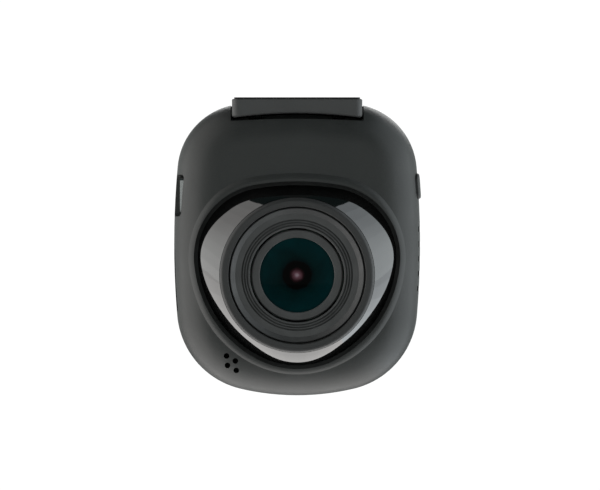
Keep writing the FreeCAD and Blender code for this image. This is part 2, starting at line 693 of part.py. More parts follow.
def lens_barrel():
    last = STEM_END
    return turned([(CELL_RADIUS, CELL_FRONT), (GLASS_RADIUS, CELL_FRONT), (GLASS_RADIUS, SEAT_Y),
                   (ELEMENT_RADIUS, SEAT_Y), (ELEMENT_RADIUS, last - 1.1), (4.0, last - 1.1),
                   (4.0, last), (STEM_RADIUS, last), (STEM_RADIUS, STEM_Y), (CELL_RADIUS, STEM_Y)])


def element(y0, y1, front, back):
    """Lens element; a positive face radius bulges out and a negative one dips in."""
    shape = rod(ELEMENT_RADIUS, y0, y1, 0.0, LENS_Z)
    for radius, edge, away in ((front, y0, -1), (back, y1, 1)):
        if radius > 0:
            shape = shape.common(ball(radius, edge - away * radius))
        else:
            shape = shape.cut(ball(-radius, edge - away * (radius + 0.7)))
    return shape


def lens_holder():
    half = HOLDER_SIZE / 2
    base = slab(HOLDER_SIZE, HOLDER_SIZE, BOARD_Y - 2.0, BOARD_Y, 0.0, LENS_Z, 1.5)
    lugs = [rod(2.0, BOARD_Y - 2.0, BOARD_Y, 0.0, LENS_Z + s * (half + 2.3)) for s in (-1, 1)]
    webs = [slab(4.0, 2.4, BOARD_Y - 2.0, BOARD_Y, 0.0, LENS_Z + s * (half + 1.1)) for s in (-1, 1)]
    tube = rod(STEM_RADIUS + 1.8, HOLDER_FRONT, BOARD_Y - 2.0, 0.0, LENS_Z)
    holder = join(base, lugs + webs + [tube])
    cuts = [slab(12.0, 12.0, BOARD_Y - 1.5, BOARD_Y + 1, 0.0, LENS_Z),
            slab(7.0, 6.0, BOARD_Y - 2.5, BOARD_Y, 0.0, LENS_Z),
            rod(STEM_RADIUS + 0.02, HOLDER_FRONT - 1, BOARD_Y - 2.0, 0.0, LENS_Z)]
    cuts += [rod(0.6, BOARD_Y - 1.6, BOARD_Y + 1, x, z) for x, z in HOLDER_SCREWS]
    return holder.cut(cuts)


HOLDER_SCREWS = [(0.0, LENS_Z + s * (HOLDER_SIZE / 2 + 2.3)) for s in (-1, 1)]


def main_board():
    board = prism(CASE, -BOARD_INSET, BOARD_Y, BOARD_REAR)
    board = board.cut(box(-FAR, FAR, -FAR, FAR, -BOARD_TOP, FAR))
    cuts = [rod(BOSS_RADIUS + 0.5, BOARD_Y - 1, BOARD_REAR + 1, x, z) for x, z in CASE_SCREWS]
    cuts += [rod(0.8, BOARD_Y - 1, BOARD_REAR + 1, x, z) for x, z in POSTS + HOLDER_SCREWS]
    cuts.append(box(FLANGE_X - TRAVEL - 0.3, FAR, BOARD_Y - 1, BOARD_REAR + 1,
                    -BUTTON_DROP - 4.4, -BUTTON_DROP + 4.4))
    return board.cut(cuts)


USB_MOUTH = USB_INSET - side_at(-USB_DROP, TANGENT_Y)


def usb_receptacle():
    mouth = USB_MOUTH
    y0 = BOARD_Y - 4.3
    shell = box(mouth, mouth + 8.0, y0, BOARD_Y, -USB_DROP - USB_SHELL / 2, -USB_DROP + USB_SHELL / 2)
    edges = [e for e in shell.Edges if e.BoundBox.XLength > 1 and e.BoundBox.YMax < y0 + 1]
    shell = shell.makeFillet(0.7, edges)
    well = box(mouth - 1, mouth + 7.2, y0 + 0.4, BOARD_Y - 0.4, -USB_DROP - USB_SHELL / 2 + 0.4,
               -USB_DROP + USB_SHELL / 2 - 0.4)
    edges = [e for e in well.Edges if e.BoundBox.XLength > 1 and e.BoundBox.YMax < y0 + 1]
    return shell.cut(well.makeFillet(0.5, edges))


def usb_tongue():
    mouth = USB_MOUTH
    y = BOARD_Y - 2.1
    blade = box(mouth + 1.4, mouth + 7.2, y - 0.45, y + 0.45, -USB_DROP - 2.3, -USB_DROP + 2.3)
    block = box(mouth + 5.6, mouth + 7.2, BOARD_Y - 3.9, BOARD_Y - 0.4, -USB_DROP - 3.4, -USB_DROP + 3.4)
    edges = [e for e in block.Edges if e.BoundBox.XLength > 1 and e.BoundBox.YMax < BOARD_Y - 3]
    return join(block.makeFillet(0.5, edges), [blade])


CARD_OUT = -side_at(-SLOT_DROP, CARD_Y) + 0.5


def memory_card():
    half = CARD_WIDTH / 2
    z = -SLOT_DROP
    card = box(CARD_OUT, CARD_OUT + CARD_LENGTH, CARD_Y - CARD_THICK / 2, CARD_Y + CARD_THICK / 2,
               z - half, z + half)
    edges = [e for e in card.Edges if e.BoundBox.YLength > CARD_THICK / 2]
    card = card.makeFillet(0.6, edges)
    step = box(CARD_OUT + 6.5, FAR, CARD_Y - 1, CARD_Y + 1, z + half - 1.4, z + half + 1)
    return card.cut(step)


def card_socket():
    half = SLOT_LENGTH / 2
    z = -SLOT_DROP
    cover = box(CARD_OUT + 2.0, CARD_OUT + CARD_LENGTH + 1.0, CARD_Y - 0.95, BOARD_Y, z - half, z + half)
    tunnel = box(CARD_OUT - 5, CARD_OUT + CARD_LENGTH + 0.1, CARD_Y - CARD_THICK / 2 - 0.1,
                 CARD_Y + CARD_THICK / 2 + 0.1, z - CARD_WIDTH / 2 - 0.1, z + CARD_WIDTH / 2 + 0.1)
    return cover.cut(tunnel)


BUTTON_FACE = side_at(-BUTTON_DROP, CARD_Y) + BUTTON_PROUD
FLANGE_X = BUTTON_FACE - 4.3
TRAVEL = 0.4


def power_button():
    z = -BUTTON_DROP
    cap = side_stadium(BUTTON_LENGTH, BUTTON_WIDTH, FLANGE_X, FAR, CARD_Y, z)
    cap = cap.common(case_form(-BUTTON_PROUD))
    rim = [e for e in cap.Edges if e.BoundBox.XMin > FLANGE_X + 2.0]
    cap = cap.makeFillet(0.35, rim)
    flange = side_stadium(BUTTON_LENGTH + 1.4, BUTTON_WIDTH + 0.6, FLANGE_X, FLANGE_X + 0.8, CARD_Y, z)
    nib = cross_rod(0.7, FLANGE_X - 1.6, FLANGE_X, CARD_Y, z)
    return join(cap, [flange, nib])


def power_switch():
    z = -BUTTON_DROP
    far = FLANGE_X - TRAVEL - 0.1
    body = box(far - 3.6, far, BOARD_Y - 2.2, BOARD_Y, z - 2.6, z + 2.6)
    return body.cut(cross_rod(0.75, FLANGE_X - 2.3, far + 1, CARD_Y, z))


def speaker():
    y = BOARD_Y - 3.4
    x = CASE_SCREWS[2][0] - SPEAKER_IN
    z = CASE_SCREWS[2][1] - SPEAKER_DOWN
    body = rod(SPEAKER_RADIUS, y, BOARD_Y, x, z)
    dish = ring(SPEAKER_RADIUS - 0.8, SPEAKER_RADIUS / 2, y - 1, y + 0.4, x, z)
    return body.cut(dish)


def microphone():
    return slab(3.8, 3.0, BOARD_Y - 1.2, BOARD_Y, -MIC_OUT, -MIC_DROP)


def microphone_boot():
    tube = rod(MIC_BOOT, CASE_FRONT, BOARD_Y, -MIC_OUT, -MIC_DROP)
    tube = tube.common(case_form(WALL)).cut(prism(EYE, GROOVE / 2 + LEDGE, -FAR, LEDGE_Y))
    pocket = slab(3.9, 3.1, BOARD_Y - 1.25, BOARD_Y + 1, -MIC_OUT, -MIC_DROP)
    channel = rod(MIC_CHANNEL, CASE_FRONT, BOARD_Y - 1.2, -MIC_OUT, -MIC_DROP)
    return tube.cut([pocket, channel])


def display_frame():
    width = WINDOW_WIDTH + 2.5
    height = WINDOW_HEIGHT + 2.5
    tray = slab(width, height, CASE_REAR - FRAME_DEPTH, REAR_INNER, 0.0, -WINDOW_DROP, 0.8)
    return tray.cut(slab(width - 1, height - 1, CASE_REAR - FRAME_DEPTH + 0.4, FAR, 0.0, -WINDOW_DROP))


def display_layer(y0, y1):
    return slab(WINDOW_WIDTH + 1.5, WINDOW_HEIGHT + 1.5, y0, y1, 0.0, -WINDOW_DROP)


def mitred(path, offset):
    """Path in (y, z) moved sideways by offset, keeping its bends sharp."""
    steps = []
    for a, b in zip(path, path[1:]):
        length = math.hypot(b[0] - a[0], b[1] - a[1])
        steps.append(((b[0] - a[0]) / length, (b[1] - a[1]) / length))
    moved = []
    for spot, before, after in zip(path, steps[:1] + steps, steps + steps[-1:]):
        nx = -(before[1] + after[1])
        nz = before[0] + after[0]
        scale = 2 * offset / (nx * nx + nz * nz)
        moved.append((spot[0] + nx * scale, spot[1] + nz * scale))
    return moved


def display_flex():
    """Thin ribbon from the screen frame's back to its connector on the board."""
    half = FLEX_THICK / 2
    frame_y = CASE_REAR - FRAME_DEPTH - half
    low = -WINDOW_DROP - WINDOW_HEIGHT / 2 - 1.25
    path = [(frame_y, low + 4.0), (frame_y, low + 0.75), (frame_y - 1.9, CONNECTOR_Z),
            (BOARD_REAR + CONNECTOR_HIGH, CONNECTOR_Z)]
    loop = [point(-FLEX_WIDTH / 2, y, z) for y, z in mitred(path, half) + mitred(path, -half)[::-1]]
    return Part.Face(Part.makePolygon(loop + loop[:1])).extrude(point(FLEX_WIDTH, 0, 0))


def rear_key(x):
    y = REAR_INNER
    cap = stadium(KEY_LENGTH, KEY_WIDTH, y - 0.9, CASE_REAR + KEY_PROUD, x, -KEY_DROP)
    rim = [e for e in cap.Edges if e.BoundBox.YMin > CASE_REAR + KEY_PROUD - 0.01]
    cap = cap.makeFillet(0.3, rim)
    flange = stadium(KEY_LENGTH + 1.2, KEY_WIDTH + 1.0, y - 0.9, y - 0.1, x, -KEY_DROP)
    nib = rod(0.7, y - 2.3, y - 0.9, x, -KEY_DROP)
    return join(cap, [flange, nib])


def key_switches():
    top = REAR_INNER - 0.9 - TRAVEL - 0.1
    switches = []
    for x in key_places():
        body = slab(5.0, 3.4, top - 1.5, top, x, -KEY_DROP)
        switches.append(body.cut(rod(0.75, top - 1.35, top + 1, x, -KEY_DROP)))
    return Part.makeCompound(switches)


def key_board():
    rear = REAR_INNER - 2.9
    board = box(-18.5, 18.5, rear - 1.0, rear, KEY_POST_Z - 1.4, -KEY_DROP + 2.6)
    edges = [e for e in board.Edges if e.BoundBox.YLength > 0.5]
    board = board.makeFillet(1.0, edges).common(prism(CASE, -WALL - 0.5, rear - 2, rear + 1))
    cuts = [rod(0.75, rear - 2, rear + 1, x, z) for x, z in KEY_POSTS]
    cuts += [rod(BOSS_RADIUS + 0.4, rear - 2, rear + 1, x, z) for x, z in CASE_SCREWS]
    return board.cut(cuts)


def heat_spreader():
    plate = slab(26.0, 18.0, BOARD_REAR + 2.0, BOARD_REAR + 3.0, CHIP_X, CHIP_Z, 1.0)
    fins = [slab(1.0, 16.0, BOARD_REAR + 3.0, BOARD_REAR + 4.2, CHIP_X + i * 4.0, CHIP_Z)
            for i in range(-2, 3)]
    legs = [rod(1.0, BOARD_REAR, BOARD_REAR + 2.0, CHIP_X + s * 11.0, CHIP_Z) for s in (-1, 1)]
    return join(plate, fins + legs)


def group(shapes):
    return Part.makeCompound(shapes)


def build():
    whole = hollow_case()
    nodes = {
        "adhesive_pad": adhesive_pad(),
        "mount_plate": mount_plate(),
        "hinge_pin": hinge_pin(),
        "friction_washers": friction_washers(),
        "hinge_bracket": hinge_bracket(),
        "bracket_screws": bracket_screws(),
        "front_shell": front_shell(whole),
        "rear_shell": rear_shell(whole),
        "lens_trim": lens_trim(),
        "lens_shroud": lens_shroud(),
        "lens_hood": lens_hood(),
        "lens_retainer": lens_retainer(),
        "front_element": front_element(),
        "lens_barrel": lens_barrel(),
        "second_element": element(SEAT_Y + 0.4, SEAT_Y + 2.2, 30.0, -6.0),
        "spacer_ring": ring(ELEMENT_RADIUS, 4.3, SEAT_Y + 2.2, SEAT_Y + 3.4, 0.0, LENS_Z),
        "aperture_stop": ring(ELEMENT_RADIUS, 1.6, SEAT_Y + 3.4, SEAT_Y + 3.7, 0.0, LENS_Z),
        "third_element": element(SEAT_Y + 3.7, SEAT_Y + 6.0, 14.0, 14.0),
        "rear_element": element(SEAT_Y + 6.2, STEM_END - 1.1, 18.0, 18.0),
        "lens_holder": lens_holder(),
        "focus_lock_ring": ring(8.0, STEM_RADIUS, STEM_Y + 0.6, HOLDER_FRONT, 0.0, LENS_Z),
        "ir_filter": slab(8.8, 8.8, BOARD_Y - 2.4, BOARD_Y - 2.0, 0.0, LENS_Z),
        "image_sensor": slab(10.0, 9.0, BOARD_Y - 1.2, BOARD_Y, 0.0, LENS_Z, 0.4),
        "main_board": main_board(),
        "processor": slab(12.0, 12.0, BOARD_REAR, BOARD_REAR + 1.2, CHIP_X, CHIP_Z, 0.4),
        "thermal_pad": slab(12.0, 12.0, BOARD_REAR + 1.2, BOARD_REAR + 2.0, CHIP_X, CHIP_Z),
        "heat_spreader": heat_spreader(),
        "motion_sensor": slab(3.0, 3.0, BOARD_REAR, BOARD_REAR + 1.0, -15.0, -46.0),
        "usb_receptacle": usb_receptacle(),
        "usb_tongue": usb_tongue(),
        "card_socket": card_socket(),
        "memory_card": memory_card(),
        "power_button": power_button(),
        "power_switch": power_switch(),
        "speaker": speaker(),
        "microphone": microphone(),
        "microphone_boot": microphone_boot(),
        "battery": slab(30.0, 24.0, BATTERY_Y - 4.5, BATTERY_Y, 2.0, -34.0, 1.2),
        "battery_tape": slab(26.0, 20.0, BATTERY_Y, BATTERY_Y + TAPE, 2.0, -34.0),
        "display_frame": display_frame(),
        "display_backlight": display_layer(CASE_REAR - FRAME_DEPTH + 0.4, REAR_INNER - PANEL),
        "display_panel": display_layer(REAR_INNER - PANEL, REAR_INNER),
        "display_window": slab(WINDOW_WIDTH, WINDOW_HEIGHT, CASE_REAR - WINDOW_THICK, CASE_REAR,
                               0.0, -WINDOW_DROP, 1.5),
        "display_flex": display_flex(),
        "display_connector": slab(16.0, 2.6, BOARD_REAR, BOARD_REAR + CONNECTOR_HIGH, 0.0, CONNECTOR_Z),
        "key_board": key_board(),
        "key_switches": key_switches(),
        "status_light": slab(1.6, 1.2, REAR_INNER - 2.9, REAR_INNER - 2.3, 0.0, -KEY_DROP),
        "light_pipe": rod(0.75, REAR_INNER - 2.3, CASE_REAR + 0.05, 0.0, -KEY_DROP),
    }
    head_y = CASE_REAR - 1.3
    nodes["case_screws"] = group([screw(x, z, 1.8, head_y, head_y + 1.0, SCREW_RADIUS, SEAM - 7.5)
                                  for x, z in CASE_SCREWS])
    nodes["board_screws"] = group([screw(x, z, 1.5, BOARD_REAR, BOARD_REAR + 0.8, 0.7, BOARD_Y - 3.2)
                                   for x, z in POSTS])
    nodes["holder_screws"] = group([screw(x, z, 1.3, BOARD_REAR, BOARD_REAR + 0.7, 0.6, BOARD_Y - 1.5)
                                    for x, z in HOLDER_SCREWS])
    nodes["key_screws"] = group([screw(x, z, 1.2, CASE_REAR - 6.2, CASE_REAR - 5.5, 0.6, CASE_REAR - 2.2)
                                 for x, z in KEY_POSTS])
    nodes["memory_chips"] = group([slab(9.0, 11.0, BOARD_REAR, BOARD_REAR + 1.0, -13.0, z, 0.3)
                                   for z in (-20.0, -34.0)])
    nodes["power_coils"] = group([slab(4.0, 4.0, BOARD_REAR, BOARD_REAR + 2.0, x, -40.0, 0.6)
                                  for x in (8.0, 14.0)])
    for name, x in zip(("key_a", "key_b", "key_c", "key_d"), key_places()):
        nodes[name] = rear_key(x)
    return nodes


def main():
    os.makedirs("parts", exist_ok=True)
    for name, shape in build().items():
        shape.exportStep("parts/" + name + ".step")


main()
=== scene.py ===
"""Looks for the dash camera: materials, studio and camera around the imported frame."""
import json
import math

import bpy
from mathutils import Matrix, Vector


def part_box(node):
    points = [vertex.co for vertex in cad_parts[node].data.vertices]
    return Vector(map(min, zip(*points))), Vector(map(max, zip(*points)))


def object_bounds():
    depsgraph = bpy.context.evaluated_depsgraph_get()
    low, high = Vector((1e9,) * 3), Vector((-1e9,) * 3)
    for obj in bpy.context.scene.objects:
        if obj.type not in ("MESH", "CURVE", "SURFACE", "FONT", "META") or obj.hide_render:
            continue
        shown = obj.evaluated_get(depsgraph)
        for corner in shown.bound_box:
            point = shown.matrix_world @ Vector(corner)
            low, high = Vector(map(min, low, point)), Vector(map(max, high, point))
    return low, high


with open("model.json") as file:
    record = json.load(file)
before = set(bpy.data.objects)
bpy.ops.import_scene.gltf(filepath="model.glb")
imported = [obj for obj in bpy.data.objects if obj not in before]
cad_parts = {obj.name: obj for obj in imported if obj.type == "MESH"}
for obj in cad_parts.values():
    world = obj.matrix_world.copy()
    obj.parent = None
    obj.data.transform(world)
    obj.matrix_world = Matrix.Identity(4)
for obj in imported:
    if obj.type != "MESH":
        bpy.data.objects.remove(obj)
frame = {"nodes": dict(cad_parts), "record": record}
cad_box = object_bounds()

# Camera: distance, width of the view at the lens, and its place beside and above the lens axis.
CAMERA_AWAY = 2.0
VIEW_WIDTH = 0.1328
VIEW_ASIDE = 0.00064
VIEW_ABOVE_LENS = 0.0066
SENSOR = 36.0


def middle(node):
    low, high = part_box(node)
    return (low + high) / 2


LENS = middle("lens_shroud")
GLASS_REACH = (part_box("front_element")[1].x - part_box("front_element")[0].x) / 2

# Material sizes in metres: the second lens's coated radius, a lathe line and two mould grains.
SECOND_REACH = 0.006
LATHE_LINE = 0.00009
CASE_GRAIN = 0.00022
BARREL_GRAIN = 0.00016
CASE_TINT = (1.0, 1.05, 1.02)
BLACK = (0.0005, 0.0006, 0.0006)

# The front glass from its middle outwards: (share of its radius, colour). All of it is painted light: a
# painted pink glint, a black painted pupil of shade, then a painted teal reflection of the coating that
# brightens towards the rim.
PAINTED_GLINT = [(0.0, (0.42, 0.33, 0.36)), (0.035, (0.30, 0.20, 0.24)),
         (0.075, (0.16, 0.07, 0.09)), (0.15, (0.022, 0.006, 0.008))]
PAINTED_PUPIL_SHADE = [(0.20, BLACK), (0.35, BLACK)]
PAINTED_TEAL_REFLECTION = [(0.39, (0.0, 0.007, 0.008)), (0.5, (0.0, 0.013, 0.0135)),
        (0.7, (0.0, 0.017, 0.019)), (1.0, (0.0, 0.026, 0.029))]


# ---------------------------------------------------------------- camera
def make_camera():
    data = bpy.data.cameras.new("camera")
    data.sensor_width = SENSOR
    data.lens = SENSOR * CAMERA_AWAY / VIEW_WIDTH
    data.clip_start = 0.1
    data.clip_end = 20.0
    camera = bpy.data.objects.new("camera", data)
    bpy.context.scene.collection.objects.link(camera)
    camera.location = (VIEW_ASIDE, -CAMERA_AWAY, LENS.z + VIEW_ABOVE_LENS)
    camera.rotation_euler = (math.radians(90), 0, 0)
    bpy.context.scene.camera = camera


make_camera()


# ---------------------------------------------------------------- shader helpers
class Shader:
    """A node material built step by step around one Principled shader."""

    def __init__(self, name, **values):
        self.mat = bpy.data.materials.new(name)
        self.mat.use_nodes = True
        self.tree = self.mat.node_tree
        self.bsdf = self.tree.nodes["Principled BSDF"]
        for key, value in values.items():
            self.bsdf.inputs[key.replace("_", " ")].default_value = value
        self.place = self.add("ShaderNodeTexCoord").outputs["Object"]

    def add(self, kind, **settings):
        node = self.tree.nodes.new(kind)
        for key, value in settings.items():
            setattr(node, key, value)
        return node

    def wire(self, source, target):
        if hasattr(source, "is_linked"):
            self.tree.links.new(source, target)
        else:
            target.default_value = source

    def noise(self, size, detail=3.0, stretch=None, distortion=0.0):
        """Noise whose blotches are about size metres across."""
        node = self.add("ShaderNodeTexNoise")
        node.inputs["Scale"].default_value = 1.0 / size
        node.inputs["Detail"].default_value = detail
        node.inputs["Distortion"].default_value = distortion
        self.wire(self.stretched(stretch), node.inputs["Vector"])
        return node.outputs["Fac"]

    def cells(self, size, stretch=None, feature="F1"):
        node = self.add("ShaderNodeTexVoronoi", feature=feature)
        node.inputs["Scale"].default_value = 1.0 / size
        self.wire(self.stretched(stretch), node.inputs["Vector"])
        return node.outputs["Distance"]

    def stretched(self, stretch):
        if stretch is None:
            return self.place
        node = self.add("ShaderNodeMapping")
        node.inputs["Scale"].default_value = stretch
        self.wire(self.place, node.inputs["Vector"])
        return node.outputs["Vector"]

    def spread(self, value, low, high, from_low=0.3, from_high=0.7):
        node = self.add("ShaderNodeMapRange")
        self.wire(value, node.inputs["Value"])
        node.inputs["From Min"].default_value = from_low
        node.inputs["From Max"].default_value = from_high
        node.inputs["To Min"].default_value = low
        node.inputs["To Max"].default_value = high
        return node.outputs["Result"]

    def math(self, kind, a, b=0.0):
        node = self.add("ShaderNodeMath", operation=kind)
        self.wire(a, node.inputs[0])
        self.wire(b, node.inputs[1])
        return node.outputs[0]

    def blend(self, share, a, b):
        node = self.add("ShaderNodeMix", data_type="RGBA")
        self.wire(share, node.inputs["Factor"])
        for value, socket in ((a, node.inputs[6]), (b, node.inputs[7])):
            self.wire(value if hasattr(value, "is_linked") else (*value, 1.0), socket)
        return node.outputs[2]

    def ramp(self, value, stops):
        node = self.add("ShaderNodeValToRGB")
        marks = node.color_ramp.elements
        while len(marks) < len(stops):
            marks.new(0.5)
        for mark, (at, colour) in zip(marks, stops):
            mark.position = at
            mark.color = (*colour, 1.0)
        self.wire(value, node.inputs["Fac"])
        return node.outputs["Color"]

    def tinted(self, colour, tint):
        node = self.add("ShaderNodeMix", data_type="RGBA", blend_type="MULTIPLY")
        node.inputs["Factor"].default_value = 1.0
        self.wire(colour, node.inputs[6])
        self.wire(tint, node.inputs[7])
        return node.outputs[2]

    def from_axis(self, centre, reach):
        """Distance from an axis along Y through centre, as a share of reach."""
        split = self.add("ShaderNodeSeparateXYZ")
        self.wire(self.place, split.inputs[0])
        dx = self.math("SUBTRACT", split.outputs["X"], centre.x)
        dz = self.math("SUBTRACT", split.outputs["Z"], centre.z)
        square = self.math("ADD", self.math("MULTIPLY", dx, dx), self.math("MULTIPLY", dz, dz))
        return self.math("DIVIDE", self.math("SQRT", square), reach)

    def colour(self, value):
        self.wire(value, self.bsdf.inputs["Base Color"])

    def rough(self, value):
        self.wire(value, self.bsdf.inputs["Roughness"])

    def bump(self, height, depth):
        """Bump whose full height is depth metres; several calls add up."""
        node = self.add("ShaderNodeBump")
        node.inputs["Strength"].default_value = 1.0
        node.inputs["Distance"].default_value = depth
        self.wire(height, node.inputs["Height"])
        socket = self.bsdf.inputs["Normal"]
        if socket.is_linked:
            self.wire(socket.links[0].from_socket, node.inputs["Normal"])
        self.wire(node.outputs["Normal"], socket)


def plastic(name, dark, light, rough, grain=CASE_GRAIN, depth=0.000008, **values):
    """Moulded plastic: cloudy colour, eroded grain and a little handling sheen."""
    s = Shader(name, **values)
    cloud = s.noise(0.012, 4.0)
    fine = s.noise(grain * 1.5, 2.0)
    s.colour(s.blend(s.spread(s.math("ADD", s.math("MULTIPLY", cloud, 0.7), s.math("MULTIPLY", fine, 0.3)),
                              0.0, 1.0), dark, light))
    s.rough(s.spread(s.noise(0.006, 4.0), rough - 0.05, rough + 0.05))
    s.bump(s.noise(grain, 2.0), depth)
    return s


def metal(name, dark, light, rough, lines=(1.0, 1.0, 14.0), **values):
    """Metal with a brushed or rolled grain along one way."""
    s = Shader(name, Metallic=1.0, **values)
    streak = s.noise(0.0006, 4.0, lines)
    s.colour(s.blend(s.spread(streak, 0.0, 1.0), dark, light))
    s.rough(s.spread(s.noise(0.0012, 3.0, lines), rough - 0.07, rough + 0.07))
    s.bump(streak, 0.000006)
    return s


def grey(value, tint=(1.0, 1.0, 1.0)):
    return tuple(value * t for t in tint)


# ---------------------------------------------------------------- materials
def case_plastic():
    return plastic("case_plastic", grey(0.036, CASE_TINT), grey(0.048, CASE_TINT), 0.42,
                   Specular_IOR_Level=0.5)


def trim_gloss():
    s = Shader("trim_gloss", IOR=2.1, Coat_Weight=1.0, Coat_Roughness=0.02)
    s.colour(s.blend(s.spread(s.noise(0.01), 0.0, 1.0), grey(0.004), grey(0.008)))
    hair = s.noise(0.0004, 2.0, (1.0, 9.0, 1.0), 0.4)
    s.rough(s.spread(hair, 0.04, 0.10, 0.45, 0.75))
    s.bump(s.noise(0.004, 2.0), 0.000004)
    return s


def coated_glass():
    """Front element with painted light: a painted teal reflection of the coating, a black painted pupil of
    shade and a small painted pink glint of the sensor.
    """
    s = Shader("coated_glass", IOR=1.5, Specular_IOR_Level=0.05)
    wobble = s.spread(s.noise(0.0012, 2.0), -0.012, 0.012)
    share = s.math("ADD", s.from_axis(LENS, GLASS_REACH), wobble)
    # Painted glint, painted pupil shade and painted teal reflection, laid out by distance from the lens
    # axis.
    look = s.ramp(share, PAINTED_GLINT + PAINTED_PUPIL_SHADE + PAINTED_TEAL_REFLECTION)
    cloud = s.spread(s.noise(0.006, 3.0, None, 0.6), 0.0, 1.0, 0.35, 0.75)
    tint = s.blend(cloud, (0.8, 0.8, 0.8), (1.3, 1.3, 1.3))
    s.colour(s.tinted(look, tint))
    s.rough(s.spread(s.noise(0.003), 0.03, 0.08))
    s.bump(s.noise(0.004, 2.0), 0.000001)
    return s


def second_glass():
    s = Shader("second_glass", IOR=1.6, Coat_Weight=0.5)
    share = s.from_axis(LENS, SECOND_REACH)
    # Painted light on the second lens by distance from its axis: a painted pink glint in the middle, a
    # black painted pupil of shade, then a painted teal reflection of the coating that brightens outwards.
    s.colour(s.ramp(share, [(0.0, (0.55, 0.28, 0.36)), (0.13, (0.35, 0.14, 0.2)),
                            (0.2, (0.002, 0.003, 0.003)), (0.48, (0.002, 0.004, 0.004)),
                            (0.6, (0.0, 0.028, 0.034)), (1.0, (0.0, 0.045, 0.05))]))
    s.rough(s.spread(s.noise(0.002), 0.05, 0.09))
    return s


def painted_teal_barrel():
    # Dark teal that paints the coating's teal reflection onto the barrel seen through the front glass.
    return plastic("painted_teal_barrel", (0.0, 0.02, 0.024), (0.0, 0.035, 0.04), 0.35, depth=0.000004)


def turned_black(name, dark, light, rough):
    """Black anodised ring with fine lathe lines round the lens axis."""
    s = Shader(name, Metallic=0.3)
    ripple = s.math("SINE", s.from_axis(LENS, LATHE_LINE))
    s.colour(s.blend(s.spread(s.noise(0.005), 0.0, 1.0), dark, light))
    s.rough(s.spread(s.noise(0.003), rough - 0.05, rough + 0.06))
    s.bump(ripple, 0.0000015)
    s.bump(s.noise(0.0003), 0.000003)
    return s


def board_green():
    s = Shader("board_green", Coat_Weight=0.3)
    weave = s.cells(0.0009, (1.0, 0.2, 1.0), "DISTANCE_TO_EDGE")
    s.colour(s.blend(s.spread(weave, 0.0, 1.0, 0.0, 0.1), (0.03, 0.22, 0.1), (0.01, 0.11, 0.05)))
    s.rough(s.spread(s.noise(0.003), 0.3, 0.42))
    s.bump(weave, 0.00002)
    return s


def screen_glass():
    s = Shader("screen_glass", IOR=1.5, Coat_Weight=0.5)
    s.colour(s.blend(s.spread(s.noise(0.02), 0.0, 1.0), grey(0.004), (0.006, 0.007, 0.010)))
    s.rough(s.spread(s.noise(0.008, 5.0), 0.03, 0.12))
    s.bump(s.noise(0.01), 0.000002)
    return s


def clear_plastic():
    s = Shader("clear_plastic", Transmission_Weight=0.8, IOR=1.5)
    s.colour(s.blend(s.noise(0.001), grey(0.7), grey(0.9)))
    s.rough(s.spread(s.noise(0.001), 0.2, 0.4))
    return s


def clear_glass():
    s = Shader("clear_glass", Transmission_Weight=1.0, IOR=1.55, Roughness=0.01)
    s.colour(s.blend(s.noise(0.004), (0.8, 0.9, 0.88), (0.9, 0.95, 0.93)))
    return s


# One finish per material slot of the record; SPECIAL gives a node its own instead.
FINISHES = {
    "case_plastic": case_plastic(),
    "trim_gloss": trim_gloss(),
    "barrel_black": plastic("barrel_black", grey(0.020), grey(0.030), 0.34,
                            grain=BARREL_GRAIN, depth=0.000005),
    "hood_metal": turned_black("hood_metal", grey(0.092), grey(0.118), 0.36),
    "coated_glass": coated_glass(),
    "clear_glass": clear_glass(),
    "steel": metal("steel", grey(0.5), grey(0.66), 0.3),
    "rubber": plastic("rubber", grey(0.012), grey(0.02), 0.8, grain=0.0004, depth=0.00002),
    "board": board_green(),
    "chip": plastic("chip", grey(0.018), grey(0.03), 0.5),
    "dark_plastic": plastic("dark_plastic", grey(0.022), grey(0.032), 0.4),
    "aluminium": metal("aluminium", grey(0.6), grey(0.72), 0.35),
    "foil": metal("foil", grey(0.55), grey(0.7), 0.4, (1.0, 1.0, 1.0)),
    "screen_glass": screen_glass(),
    "screen_layer": plastic("screen_layer", grey(0.65), grey(0.75), 0.5),
    "ribbon": plastic("ribbon", (0.45, 0.2, 0.04), (0.55, 0.27, 0.06), 0.35),
    "clear_plastic": clear_plastic(),
}
SPECIAL = {
    "second_element": second_glass(),
    "lens_barrel": painted_teal_barrel(),
    # Mount plate in a lighter grey than the case: partly a lighter plastic, partly painted light for its
    # upright front face, which catches more light.
    "mount_plate": plastic("plate_plastic_painted_light", grey(0.078), grey(0.094), 0.45),
    "lens_shroud": plastic("shroud_black", grey(0.042), grey(0.056), 0.34,
                           grain=BARREL_GRAIN, depth=0.000005),
    "case_screws": metal("screw_black", grey(0.05), grey(0.08), 0.34),
    "microphone": plastic("microphone_black", grey(0.008), grey(0.012), 0.6),
}

slots = {part["node"]: part["material_slot"] for part in frame["record"]["subparts"]}
for name, obj in frame["nodes"].items():
    finish = SPECIAL.get(name) or FINISHES[slots[name]]
    obj.data.materials.clear()
    obj.data.materials.append(finish.mat)


# ---------------------------------------------------------------- studio
# Light ring: radius, angles in degrees round the lens axis, then its reach along Y.
RING = 1.2
RING_STEP = 9
RING_START = 120
RING_END = 423
COOL_FROM = 305
SIDE_NEAR = -0.8
SIDE_FAR = 0.8
UNDER_SHIFT = 0.7
# Brightness at angles round the ring, counted from +X towards +Z.
RING_MARKS = ((100, 0.50), (140, 0.76), (168, 0.92), (182, 1.15), (200, 1.50), (225, 1.65),
              (270, 1.42), (315, 1.6), (335, 1.45), (352, 1.05), (380, 0.95), (405, 0.80), (430, 0.5))
